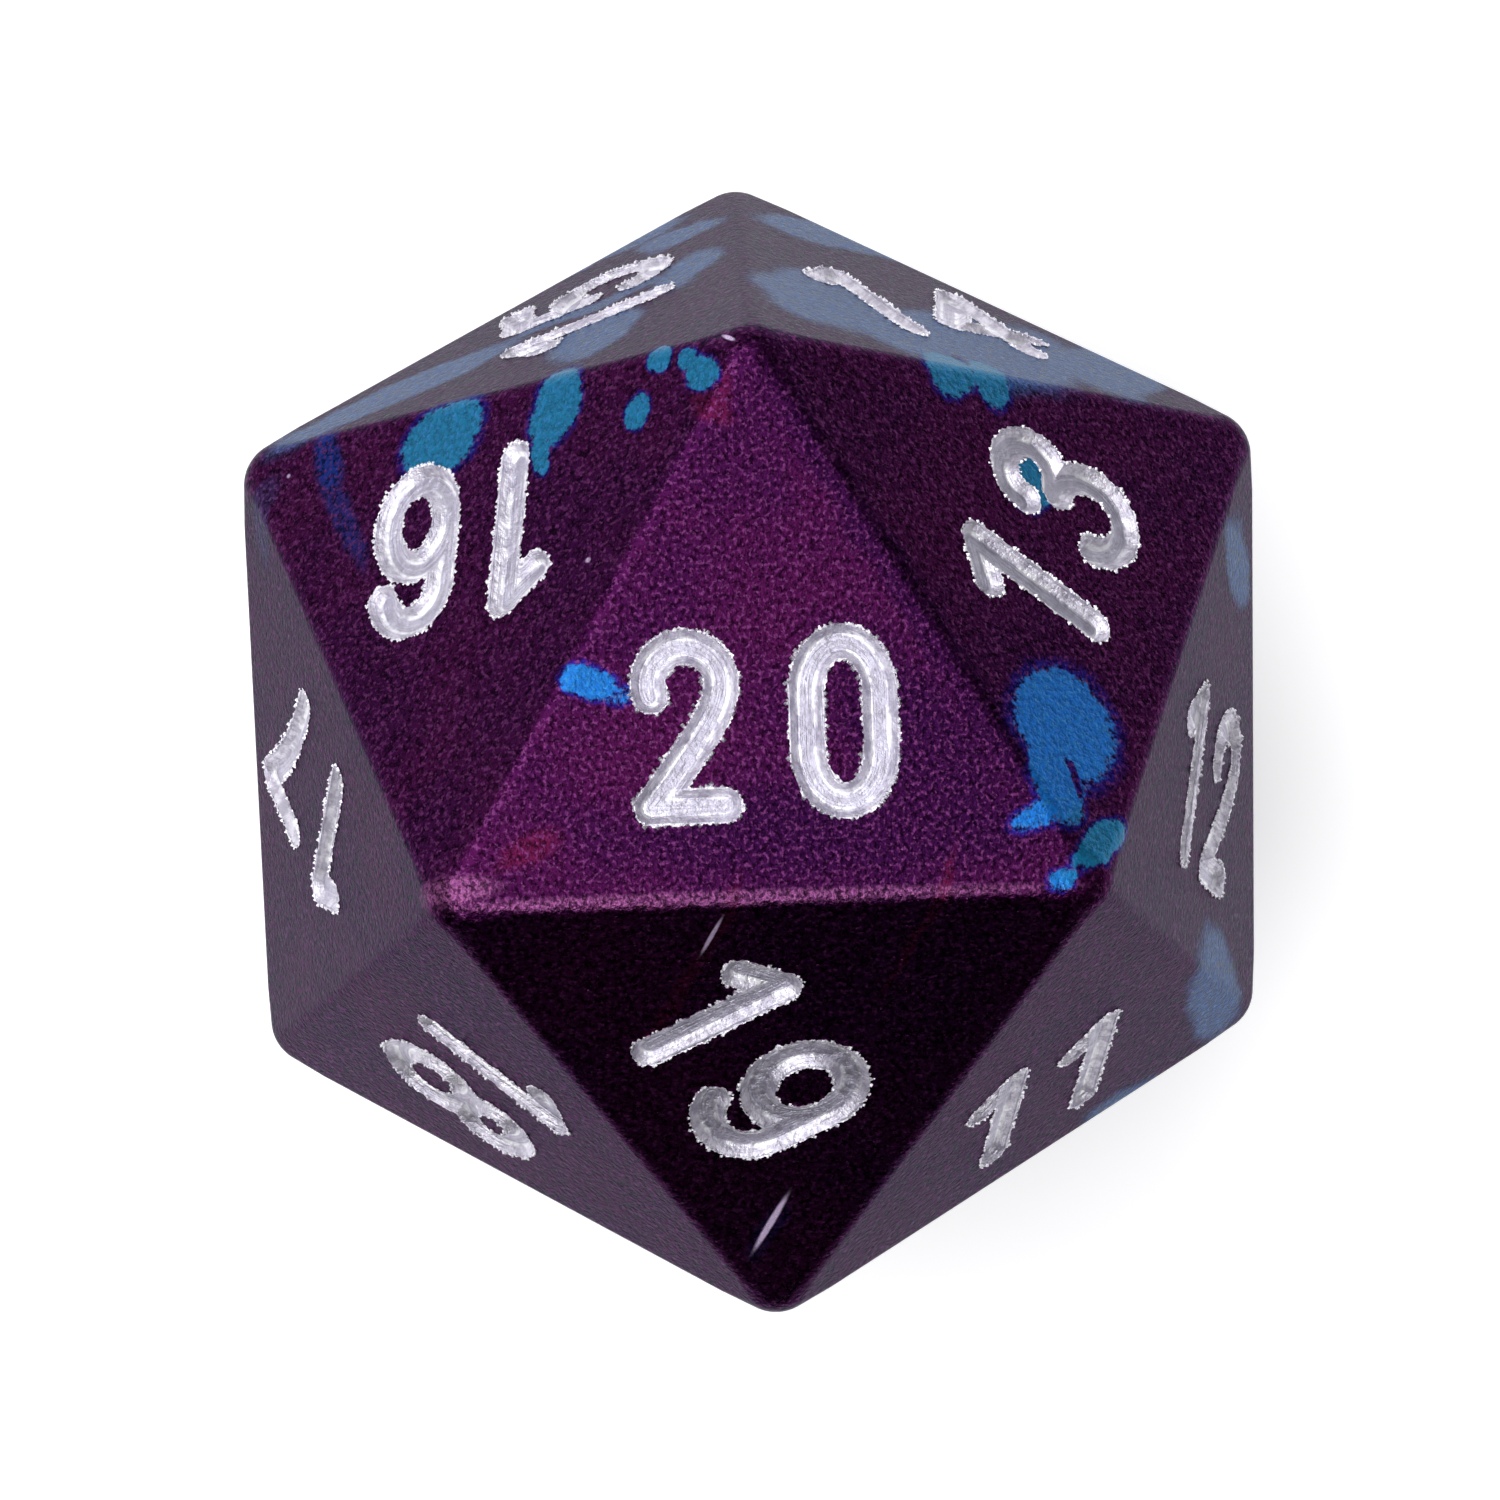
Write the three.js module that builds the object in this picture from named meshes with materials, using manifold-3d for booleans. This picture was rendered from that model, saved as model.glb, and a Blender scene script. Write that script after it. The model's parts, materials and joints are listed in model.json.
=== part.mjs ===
// A twenty-sided countdown die, 22 mm across its flats, machined from solid aluminium.
// The body is the anodised skin; each digit is the bare metal lining of its own groove.
// Millimetres, +Z up. The die rests on face 1, with face 20 on top, and its origin is the
// middle of face 1. +Y points from the middle of face 20 towards the top of its numeral.

import * as THREE from "three";
import { ConvexGeometry } from "three/addons/geometries/ConvexGeometry.js";
import { mergeVertices } from "three/addons/utils/BufferGeometryUtils.js";
import Module from "manifold-3d";

const wasm = await Module();
wasm.setup();

// Body
const acrossFlats = 22;
const edgeRadius = 0.55; // rounding left on the thirty edges
const cornerRadius = 1.05; // the twelve corners are tumbled rounder than the edges
const blendLength = 0.9; // run from a rounded corner to the full section of an edge
const roundingSteps = 3; // flats across one rounded edge

// Numerals: every groove is cut with the same blunt cutter
const digitRise = 3.5; // height of a digit's centrelines
const digitGap = 1.85; // from the last centreline of the tens to the first of the units
const usualShift = [0, -0.35]; // a number sits a little below the middle of its face
const grooveHalfWidth = 0.385;
const floorHalfWidth = 0.19; // the flat floor left by the cutter's tip
const grooveDepth = 0.21;
const rimWidth = 0.035; // bare metal that shows flat around each groove
const liningDepth = 0.52; // to the pointed underside of the lining, below the face
const fitGap = 0.02; // all round between a lining and the body
const cutterLift = 0.2; // how far a cutting shape stands above the face
const strokeStep = 0.45; // spacing of the sections along a curved stroke
const endSides = 4; // flats round the end of a stroke
const underlineLength = 1.9; // the bar that tells 6 from 9
const underlineDrop = 0.95; // from the foot of a digit down to its bar

const weldDistance = 1e-5; // points nearer than this are one vertex
const closedGap = 0.01; // a stroke whose ends are nearer than this is a closed loop

const golden = (1 + Math.sqrt(5)) / 2;
const edge = (acrossFlats * Math.sqrt(3)) / golden ** 2;
const inradius = acrossFlats / 2;
const skin = { color: 0x5a2058, roughness: 0.5, metalness: 0.9 };
const bareMetal = { color: 0xd8d2dc, roughness: 0.35, metalness: 1 };

// Corners, named by ring and azimuth, about the middle of the die.
function ringCorners(name, radius, height, azimuths) {
  return azimuths.map((degrees) => {
    const a = THREE.MathUtils.degToRad(degrees);
    const place = new THREE.Vector3(radius * Math.cos(a), radius * Math.sin(a), height);
    return [name + degrees, place];
  });
}

const capRadius = edge / Math.sqrt(3);
const capHeight = inradius;
const beltRadius = (edge * golden) / Math.sqrt(3);
const beltHeight = edge / (2 * Math.sqrt(3) * golden);
const corners = new Map([
  ...ringCorners("top", capRadius, capHeight, [90, 210, 330]),
  ...ringCorners("upper", beltRadius, beltHeight, [30, 150, 270]),
  ...ringCorners("lower", beltRadius, -beltHeight, [90, 210, 330]),
  ...ringCorners("foot", capRadius, -capHeight, [30, 150, 270]),
]);

// Faces 20 down to 11: the corner that each number points to, the other two corners, and
// where the number sits from the middle of the face, right and up.
const upperFaces = new Map([
  [20, { up: "top90", base: ["top210", "top330"], shift: [0, -0.3] }],
  [19, { up: "top330", base: ["top210", "upper270"], shift: [0.05, -0.65] }],
  [18, { up: "upper270", base: ["top210", "lower210"], shift: [0.2, -0.45] }],
  [17, { up: "lower210", base: ["top210", "upper150"], shift: [0.35, -0.15] }],
  [16, { up: "top210", base: ["top90", "upper150"], shift: [0.35, -0.65] }],
  [15, { up: "upper150", base: ["top90", "lower90"], shift: [0.75, -0.35] }],
  [14, { up: "lower90", base: ["top90", "upper30"], shift: [0.55, 0.1] }],
  [13, { up: "top90", base: ["top330", "upper30"], shift: [0.35, -0.2] }],
  [12, { up: "upper30", base: ["top330", "lower330"], shift: [0.2, -0.2] }],
  [11, { up: "top330", base: ["upper270", "lower330"], shift: [-0.25, -0.65] }],
]);

// A face's own frame: x to the right of the number, y up it, z out of the die.
function faceFrame({ up, base }) {
  const middle = corners.get(up).clone();
  base.forEach((name) => middle.add(corners.get(name)));
  middle.divideScalar(3);
  const out = middle.clone().normalize();
  const upward = corners.get(up).clone().sub(middle).normalize();
  const right = upward.clone().cross(out);
  return new THREE.Matrix4().makeBasis(right, upward, out).setPosition(middle);
}

// Faces 10 down to 1 are the upper ten after half a turn about the middle of the edge
// between 11 and 10, so the count runs on from face to face and opposite faces add to 21.
function halfTurn() {
  const axis = corners.get("upper270").clone().add(corners.get("lower330")).normalize();
  return new THREE.Matrix4().makeRotationAxis(axis, Math.PI);
}

function placeOf(number) {
  if (number > 10) {
    const face = upperFaces.get(number);
    return { frame: faceFrame(face), shift: face.shift };
  }
  const frame = halfTurn().multiply(faceFrame(upperFaces.get(21 - number)));
  return { frame, shift: usualShift };
}

// Between a three.js geometry and a solid that can be joined and cut.
function toSolid(geometry) {
  const bare = new THREE.BufferGeometry();
  const source = geometry.index ? geometry.toNonIndexed() : geometry;
  bare.setAttribute("position", source.getAttribute("position"));
  const merged = mergeVertices(bare, weldDistance);
  return new wasm.Manifold(
    new wasm.Mesh({
      numProp: 3,
      vertProperties: new Float32Array(merged.attributes.position.array),
      triVerts: new Uint32Array(merged.index.array),
    }),
  );
}

function toGeometry(solid) {
  const { vertProperties, triVerts } = solid.getMesh();
  const geometry = new THREE.BufferGeometry();
  geometry.setAttribute("position", new THREE.BufferAttribute(vertProperties, 3));
  geometry.setIndex(new THREE.BufferAttribute(triVerts, 1));
  geometry.computeVertexNormals();
  return geometry;
}

// Directions spread over the patch between an edge's two face normals.
function fan(from, to, steps) {
  return Array.from({ length: steps + 1 }, (_, i) =>
    from.clone().lerp(to, i / steps).normalize(),
  );
}

// The body's envelope: the hull of a ball tangent to the five faces at each corner, and of
// a finer round along each edge.
function bodyEnvelope() {
  const places = [...corners.values()];
  const touching = places.map((a) => places.filter((b) => isEdge(a, b)));
  const points = [];
  places.forEach((corner, i) => {
    const radial = corner.clone().normalize();
    const ball = radial.clone().multiplyScalar(corner.length() * (1 - cornerRadius / inradius));
    points.push(ball.clone().addScaledVector(radial, cornerRadius));
    touching[i].forEach((next) => {
      const sides = touching[i].filter((other) => isEdge(other, next));
      const [first, second] = sides.map((other) => faceNormal(corner, next, other));
      const across = fan(first, second, roundingSteps);
      across.forEach((way) => {
        points.push(ball.clone().addScaledVector(way, cornerRadius));
        const inward = way.clone().add(radial).normalize();
        points.push(ball.clone().addScaledVector(inward, cornerRadius));
      });
      const along = next.clone().sub(corner).normalize();
      const core = corner.clone().multiplyScalar(1 - edgeRadius / inradius);
      const ballAlong = ball.clone().sub(core).dot(along);
      core.addScaledVector(along, ballAlong + blendLength);
      across.forEach((way) => points.push(core.clone().addScaledVector(way, edgeRadius)));
    });
  });
  return new ConvexGeometry(points);
}

function isEdge(a, b) {
  return Math.abs(a.distanceTo(b) - edge) < edge / 10;
}

function faceNormal(a, b, c) {
  return a.clone().add(b).add(c).normalize();
}

// Digits as centrelines, x from 0 to the digit's width and y from 0 to digitRise. A path is
// smooth all along; a corner starts a new path.
function straight(x1, y1, x2, y2) {
  return new THREE.Path().moveTo(x1, y1).lineTo(x2, y2);
}

// Part of an oval, by its middle, half width, half height and two angles in degrees.
function addArc(path, x, y, rx, ry, from, to) {
  const [a, b] = [from, to].map(THREE.MathUtils.degToRad);
  return path.absellipse(x, y, rx, ry, a, b, to < from);
}

function arc(...oval) {
  return addArc(new THREE.Path(), ...oval);
}

function oval(x, y, rx, ry) {
  return arc(x, y, rx, ry, 90, 450);
}

function zero() {
  const half = 0.81;
  const bend = 1.15; // half height of the round top and bottom
  const loop = arc(half, bend, half, bend, 180, 360);
  addArc(loop, half, digitRise - bend, half, bend, 0, 180).closePath();
  return { width: 2 * half, strokes: [loop] };
}

function one() {
  const stem = 0.85;
  return {
    width: stem,
    strokes: [straight(stem, digitRise, stem, 0), straight(stem, digitRise, 0, 2.85)],
  };
}

function two() {
  const width = 1.6;
  const head = arc(width / 2, 2.7, width / 2, 0.8, 200, 0);
  return {
    width,
    strokes: [head.bezierCurveTo(width, 2.05, 1.05, 1.4, 0, 0), straight(0, 0, width, 0)],
  };
}

function three() {
  return {
    width: 1.7,
    strokes: [arc(0.78, 2.78, 0.74, 0.72, 190, -85), arc(0.82, 0.98, 0.88, 0.98, 95, -160)],
  };
}

function four() {
  const stem = 1.6;
  const bar = 1.1;
  return {
    width: 2.3,
    strokes: [
      straight(stem, digitRise, stem, 0),
      straight(stem, digitRise, 0, bar),
      straight(0, bar, 2.3, bar),
    ],
  };
}

function five() {
  const back = 0.12;
  return {
    width: 1.62,
    strokes: [
      straight(back, digitRise, 1.5, digitRise),
      straight(back, digitRise, back, 1.8),
      arc(0.77, 1.12, 0.85, 1.12, 142, -150),
    ],
  };
}

function six() {
  const half = 0.82;
  const bowl = 1.06; // half height of the closed bowl
  const back = arc(half, 2.6, half, digitRise - 2.6, 15, 180);
  return {
    width: 2 * half,
    strokes: [addArc(back, half, bowl, half, bowl, 180, 360), arc(half, bowl, half, bowl, 0, 180)],
  };
}

function seven() {
  const width = 1.85;
  const stem = new THREE.Path().moveTo(width, digitRise).quadraticCurveTo(0.75, 1.9, 0.6, 0);
  return { width, strokes: [straight(0, digitRise, width, digitRise), stem] };
}

function eight() {
  return {
    width: 1.84,
    strokes: [oval(0.92, 0.97, 0.92, 0.97), oval(0.92, 2.74, 0.78, 0.76)],
  };
}

function nine() {
  const half = 0.93;
  const bowl = 1.1;
  const back = arc(half, digitRise - bowl, half, bowl, 180, 0);
  return {
    width: 2 * half,
    strokes: [
      addArc(back, half, 0.95, half, 0.95, 0, -150),
      arc(half, digitRise - bowl, half, bowl, 180, 360),
    ],
  };
}

const digits = [zero, one, two, three, four, five, six, seven, eight, nine].map((d) => d());

// The rim of a stroke as loops of [x, y, step], where step is the centreline point that a
// rim point belongs to. A closed stroke has an outer and an inner rim; an open one has a
// single rim that goes round both of its ends.
function rimLoops(path, middles, reach) {
  const steps = middles.length - 1;
  const angles = middles.map((_, step) => path.getTangent(step / steps).angle());
  const beside = (step, turn) => {
    const a = angles[step] + turn;
    return [middles[step].x + reach * Math.cos(a), middles[step].y + reach * Math.sin(a), step];
  };
  const order = [...middles.keys()];
  const left = order.map((step) => beside(step, Math.PI / 2));
  const right = order.map((step) => beside(step, -Math.PI / 2)).reverse();
  if (middles[0].distanceTo(middles[steps]) < closedGap) {
    const wrap = ([x, y, step]) => [x, y, step % steps];
    return [left.slice(0, -1).map(wrap), right.slice(0, -1).map(wrap)];
  }
  const roundEnd = (step, turn) =>
    Array.from({ length: endSides - 1 }, (_, i) =>
      beside(step, turn - ((i + 1) * Math.PI) / endSides),
    );
  return [[...left, ...roundEnd(steps, Math.PI / 2), ...right, ...roundEnd(0, -Math.PI / 2)]];
}

// One V-shaped trough along a path: its walls run from the rim down to the point of the V,
// and its flat top closes it.
function strokeSolid(path, { halfWidth, depth, lift }) {
  const isStraight = path.curves.length === 1 && path.curves[0].isLineCurve;
  const steps = isStraight ? 1 : Math.ceil(path.getLength() / strokeStep);
  const reach = halfWidth * (1 + lift / depth);
  const middles = path.getSpacedPoints(steps);
  const corner = ([x, y], z) => [x, y, z];
  const low = (step) => corner(middles[step].toArray(), -depth);
  const high = (step) => corner(middles[step].toArray(), lift);
  const triangles = [];
  for (const rim of rimLoops(path, middles, reach)) {
    rim.forEach((here, i) => {
      const next = rim[(i + 1) % rim.length];
      const [from, to] = [corner(here, lift), corner(next, lift)];
      triangles.push(from, to, low(here[2]), from, high(here[2]), to);
      if (here[2] !== next[2]) {
        triangles.push(to, low(next[2]), low(here[2]), to, high(here[2]), high(next[2]));
      }
    });
  }
  const geometry = new THREE.BufferGeometry();
  geometry.setAttribute("position", new THREE.Float32BufferAttribute(triangles.flat(), 3));
  return toSolid(geometry);
}

function groove(strokes, cut) {
  return strokes.map((path) => strokeSolid(path, cut)).reduce((a, b) => a.add(b));
}

// The groove's walls, run on down to a point; the floor then cuts them off.
const wallPoint = (grooveDepth * grooveHalfWidth) / (grooveHalfWidth - floorHalfWidth);
const grooveCut = { halfWidth: grooveHalfWidth, depth: wallPoint, lift: cutterLift };
const liningSize = { halfWidth: grooveHalfWidth + rimWidth, depth: liningDepth, lift: 0 };
const seatCut = {
  halfWidth: liningSize.halfWidth + fitGap,
  depth: liningDepth + 2 * fitGap,
  lift: cutterLift,
};

function moved(geometry, x, y) {
  return geometry.clone().translate(x, y, 0);
}

// What is cut into one face: each digit's name, strokes and place in the face's own frame.
function marksOn(number, [right, up]) {
  const figures = [...String(number)].map((figure) => digits[figure]);
  const total = figures.reduce((sum, f) => sum + f.width, digitGap * (figures.length - 1));
  const foot = up - digitRise / 2;
  let x = right - total / 2;
  const marks = figures.map(({ width, strokes }, i) => {
    const place = figures.length > 1 ? ["_tens", "_units"][i] : "";
    const mark = { name: "numeral_" + number + place, strokes, x, y: foot };
    x += width + digitGap;
    return mark;
  });
  if (number === 6 || number === 9) {
    const bar = straight(0, 0, underlineLength, 0);
    const left = right - underlineLength / 2;
    const y = foot - underlineDrop;
    marks.push({ name: "underline_" + number, strokes: [bar], x: left, y });
  }
  return marks;
}

function liningMesh({ name, strokes, x, y }, frame) {
  const cut = groove(strokes, grooveCut).trimByPlane([0, 0, 1], -grooveDepth);
  const lining = groove(strokes, liningSize).subtract(cut);
  const material = new THREE.MeshStandardMaterial(bareMetal);
  const mesh = new THREE.Mesh(moved(toGeometry(lining), x, y), material);
  mesh.name = name;
  mesh.applyMatrix4(frame);
  return mesh;
}

function seatSolid({ strokes, x, y }, frame) {
  const seat = moved(toGeometry(groove(strokes, seatCut)), x, y);
  return toSolid(seat.applyMatrix4(frame));
}

const die = new THREE.Group();
die.position.z = inradius; // the group is built about the middle of the die
let body = toSolid(bodyEnvelope());
for (let number = 20; number >= 1; number--) {
  const { frame, shift } = placeOf(number);
  for (const mark of marksOn(number, shift)) {
    body = body.subtract(seatSolid(mark, frame));
    die.add(liningMesh(mark, frame));
  }
}
const bodyMesh = new THREE.Mesh(toGeometry(body), new THREE.MeshStandardMaterial(skin));
bodyMesh.name = "die_body";
die.add(bodyMesh);

const root = new THREE.Group();
root.add(die);

export default root;
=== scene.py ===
"""A twenty-sided countdown die of splash-anodised aluminium, resting on face 1.

The body is a bead-blasted, anodised icosahedron with softly rounded edges. Each digit was
cut through the anodising with a blunt cutter, so its groove is bare bright metal with a
ragged rim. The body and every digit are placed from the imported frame; lengths here are
millimetres until a mesh is written, in metres.
"""
import json
import math
import random

import bmesh
import bpy
import numpy as np
from mathutils import Euler, Matrix, Vector, geometry


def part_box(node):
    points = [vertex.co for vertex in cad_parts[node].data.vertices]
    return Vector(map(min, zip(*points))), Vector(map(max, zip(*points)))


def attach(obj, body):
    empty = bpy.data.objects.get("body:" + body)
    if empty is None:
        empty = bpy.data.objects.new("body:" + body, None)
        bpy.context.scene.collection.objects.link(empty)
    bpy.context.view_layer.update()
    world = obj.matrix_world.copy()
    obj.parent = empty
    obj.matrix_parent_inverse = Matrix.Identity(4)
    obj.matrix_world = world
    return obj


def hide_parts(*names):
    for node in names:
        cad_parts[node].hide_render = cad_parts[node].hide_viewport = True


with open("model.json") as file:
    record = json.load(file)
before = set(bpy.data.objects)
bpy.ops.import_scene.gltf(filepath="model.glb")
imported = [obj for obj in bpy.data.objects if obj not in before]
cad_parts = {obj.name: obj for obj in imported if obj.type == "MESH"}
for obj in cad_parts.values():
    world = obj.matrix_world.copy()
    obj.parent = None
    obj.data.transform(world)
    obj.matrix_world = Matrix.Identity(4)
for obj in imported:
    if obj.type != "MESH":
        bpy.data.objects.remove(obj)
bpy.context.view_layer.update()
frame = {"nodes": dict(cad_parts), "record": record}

MM = 0.001
GOLDEN = (1 + math.sqrt(5)) / 2

# Body, from the CAD node: the die stands on one face, so its height is its width over flats.
BODY_LOW, BODY_HIGH = (np.array(p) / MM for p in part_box("die_body"))
ACROSS_FLATS = BODY_HIGH[2] - BODY_LOW[2]
INRADIUS = ACROSS_FLATS / 2
EDGE = ACROSS_FLATS * math.sqrt(3) / GOLDEN ** 2
CENTRE = Vector((0, 0, INRADIUS))
EDGE_RADIUS = 0.55
CORNER_RADIUS = 1.05
BLEND_LENGTH = 0.9
MERGE = 0.002
ROUND_STEPS = 8

# Grooves
DIGIT_RISE = 3.5
GROOVE_HALF_WIDTH = 0.385
GROOVE_DEPTH = 0.21
FLOOR_HALF_WIDTH = 0.19
LIP_REACH = 0.41
LIP_RAG = 0.055
LIP_HEIGHT = 0.014
LEAST_LIP = 0.004
CHATTER_HEIGHT = 0.005
SEAT_HALF_WIDTH = 0.385
SEAT_DEPTH = 0.5
LINING_FOOT = 0.45
LINING_HALF_WIDTH = 0.345
FLAT_FOOT = 0.002  # foot of a lining's rim, just over the face
MARGIN = 0.6  # flat grid beyond the strokes on each side
GRID = 0.04
SEAT_GRID = 0.085
STROKE_STEP = 0.05
CURVE_POINTS = 64
SHARP_ANGLE = 28  # degrees, over which a lining's faces meet in a crease
BEAD_SPACING = 0.2
BEAD_SCATTER = (-0.01, 0.03)  # off the rim, away from the strokes
BEAD_RADII = (0.025, 0.065)
# A bead is an octahedron, whose corners are its low x, y and z and then its high ones.
BEAD_FACES = (
    (3, 4, 5), (4, 0, 5), (0, 1, 5), (1, 3, 5),
    (4, 3, 2), (0, 4, 2), (1, 0, 2), (3, 1, 2),
)
UNDERLINE_LENGTH = 1.9
MARK_DEPTH = 1.2  # half the thickness of a mark's oval, through the face

CAMERA_PLACE = (-3.1, -9.5, 154.3)  # from the middle of the die
CAMERA_TILT = (3.48, -0.98, -2.0)  # degrees about X, Y and Z
CAMERA_LENS = 157.7
SENSOR = 36.0


# ---------------------------------------------------------------- frame of each face
def ring(radius, height, azimuths):
    """Corners of the icosahedron at one height about its middle."""
    angles = [math.radians(a) for a in azimuths]
    return [Vector((radius * math.cos(a), radius * math.sin(a), height)) for a in angles]


def icosahedron():
    cap, belt = EDGE / math.sqrt(3), EDGE * GOLDEN / math.sqrt(3)
    low = EDGE / (2 * math.sqrt(3) * GOLDEN)
    return (
        ring(cap, INRADIUS, (90, 210, 330))
        + ring(belt, low, (30, 150, 270))
        + ring(belt, -low, (90, 210, 330))
        + ring(cap, -INRADIUS, (30, 150, 270))
    )


def joined(corner, other):
    """Whether two corners are the ends of one edge."""
    return abs((corner - other).length - EDGE) < EDGE / 10


CORNERS = icosahedron()


class Face:
    """One flat of the die: x to the right of its number, y up it, z out of the die. The
    record's rounded axis picks the three corners, which then give the exact plane."""

    def __init__(self, number):
        mount = next(m for m in frame["record"]["mounts"] if m["name"] == f"face_{number}")
        axis = Vector(mount["axis"])
        near = sorted(CORNERS, key=lambda c: -c.dot(axis))[:3]
        self.out = (near[0] + near[1] + near[2]).normalized()
        self.origin = CENTRE + self.out * INRADIUS
        toward = Vector(mount["pos_m"]) / MM - self.origin
        self.up = (toward - self.out * toward.dot(self.out)).normalized()
        self.right = self.up.cross(self.out)

    def place(self, x, y, z=0.0):
        return self.origin + self.right * x + self.up * y + self.out * z

    def spread(self, spots, heights):
        """Many places at once, from x, y rows and their heights over the face."""
        frame_axes = np.array([self.right, self.up, self.out])
        local = np.column_stack([spots, np.broadcast_to(heights, len(spots))])
        return np.array(self.origin) + local @ frame_axes

    def flat(self, points):
        """Points of the row frame as x, y in this face."""
        away = np.asarray(points) - np.array(self.origin)
        return np.stack([away @ np.array(self.right), away @ np.array(self.up)], axis=1)


FACES = {n: Face(n) for n in range(1, 21)}


# ---------------------------------------------------------------- digits as centrelines
def arc(x, y, rx, ry, start, end):
    """Part of an oval, by its middle, half sizes and two angles in degrees."""
    length = abs(math.radians(end - start)) * (rx + ry) / 2
    count = max(2, math.ceil(length / STROKE_STEP))
    turn = np.radians(np.linspace(start, end, count + 1))
    return np.stack([x + rx * np.cos(turn), y + ry * np.sin(turn)], axis=1)


def line(x1, y1, x2, y2):
    count = max(1, math.ceil(math.hypot(x2 - x1, y2 - y1) / STROKE_STEP))
    t = np.linspace(0, 1, count + 1)[:, None]
    return (1 - t) * np.array([x1, y1]) + t * np.array([x2, y2])


def bezier(*controls):
    """A Bezier curve of any order, by de Casteljau's construction."""
    t = np.linspace(0, 1, CURVE_POINTS)[:, None, None]
    points = np.array(controls, float)[None].repeat(CURVE_POINTS, axis=0)
    while points.shape[1] > 1:
        points = (1 - t) * points[:, :-1] + t * points[:, 1:]
    return points[:, 0]


def zero():
    half, bend = 0.81, 1.15
    top = DIGIT_RISE - bend
    return [
        np.concatenate([
            arc(half, bend, half, bend, 180, 360),
            arc(half, top, half, bend, 0, 180),
            line(0, top, 0, bend),
        ])
    ]


def one():
    return [line(0.85, DIGIT_RISE, 0.85, 0), line(0.85, DIGIT_RISE, 0, 2.85)]


def two():
    sweep = bezier((1.6, 2.7), (1.6, 2.05), (1.05, 1.4), (0, 0))
    return [arc(0.8, 2.7, 0.8, 0.8, 200, 0), sweep, line(0, 0, 1.6, 0)]


def three():
    return [arc(0.78, 2.78, 0.74, 0.72, 190, -85), arc(0.82, 0.98, 0.88, 0.98, 95, -160)]


def four():
    bar = 1.1
    return [line(1.6, DIGIT_RISE, 1.6, 0), line(1.6, DIGIT_RISE, 0, bar), line(0, bar, 2.3, bar)]


def five():
    return [
        line(0.12, DIGIT_RISE, 1.5, DIGIT_RISE),
        line(0.12, DIGIT_RISE, 0.12, 1.8),
        arc(0.77, 1.12, 0.85, 1.12, 142, -150),
    ]


def six():
    half, bowl, head = 0.82, 1.06, 2.6
    return [
        arc(half, head, half, DIGIT_RISE - head, 15, 180),
        line(0, head, 0, bowl),
        arc(half, bowl, half, bowl, 0, 360),
    ]


def seven():
    stem = bezier((1.85, DIGIT_RISE), (0.75, 1.9), (0.6, 0))
    return [line(0, DIGIT_RISE, 1.85, DIGIT_RISE), stem]


def eight():
    return [arc(0.92, 0.97, 0.92, 0.97, 0, 360), arc(0.92, 2.74, 0.78, 0.76, 0, 360)]


def nine():
    half, bowl, foot = 0.93, 1.1, 0.95
    top = DIGIT_RISE - bowl
    return [
        arc(half, top, half, bowl, 0, 360),
        line(2 * half, top, 2 * half, foot),
        arc(half, foot, half, foot, 0, -150),
    ]


DIGITS = [d() for d in (zero, one, two, three, four, five, six, seven, eight, nine)]


def strokes_of(node):
    """The strokes that a CAD node's name stands for, not yet in place."""
    kind, number, *place = node.split("_")
    if kind == "underline":
        return [line(0, 0, UNDERLINE_LENGTH, 0)]
    return DIGITS[int(number[-1] if place == ["units"] else number[0])]


class Mark:
    """One engraved digit or bar: its face, and its strokes where the CAD node lies."""

    def __init__(self, node):
        self.node = node
        self.face = FACES[int(node.split("_")[1])]
        mesh = frame["nodes"][node].data
        points = np.array([v.co for v in mesh.vertices]) / MM
        solid = self.face.flat(points)
        strokes = strokes_of(node)
        drawn = np.concatenate(strokes)
        middle = (solid.min(0) + solid.max(0)) / 2
        shift = middle - (drawn.min(0) + drawn.max(0)) / 2
        self.strokes = [s + shift for s in strokes]
        self.low = drawn.min(0) + shift
        self.high = drawn.max(0) + shift


MARKS = [Mark(n) for n in sorted(frame["nodes"]) if n != "die_body"]


# ---------------------------------------------------------------- grooves over a flat grid
class Strokes:
    """Distances from a set of strokes, which give the depth that the cutter leaves."""

    def __init__(self, strokes):
        self.a = np.concatenate([s[:-1] for s in strokes])
        self.b = np.concatenate([s[1:] for s in strokes])

    def nearest(self, points):
        """Distance to the strokes, and the direction away from them."""
        along = self.b - self.a
        square = np.maximum((along ** 2).sum(1), 1e-12)
        t = ((points[:, None] - self.a) * along).sum(2) / square
        t = np.clip(t, 0, 1)
        foot = self.a + t[..., None] * along
        away = points[:, None] - foot
        gap = np.linalg.norm(away, axis=2)
        pick = gap.argmin(axis=1)
        rows = np.arange(len(points))
        distance = gap[rows, pick]
        way = away[rows, pick] / np.maximum(distance, 1e-9)[:, None]
        return distance, way


def waves(seed, count, longest, shortest):
    """A smooth random function of a point, as a few plane waves; it gives about -1 to 1."""
    draw = np.random.default_rng(seed)
    angle = draw.uniform(0, 2 * math.pi, count)
    pitch = draw.uniform(shortest, longest, count)
    phase = draw.uniform(0, 2 * math.pi, count)
    ways = np.stack([np.cos(angle), np.sin(angle)]) * 2 * math.pi / pitch
    return lambda p: np.sin(p @ ways + phase).sum(1) / math.sqrt(count)


def outline_of(faces, count):
    """The edges that only one face has, each running the way its face does. faces are rows
    of quads and of triangles, over count points."""
    sides = [np.column_stack([f[:, i - 1], f[:, i]]) for f in faces for i in range(f.shape[1])]
    sides = np.concatenate(sides)
    names, back = sides @ [count, 1], sides @ [1, count]
    outline = sides[~np.isin(back, names)]
    return outline[np.lexsort(outline.T)]


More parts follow.
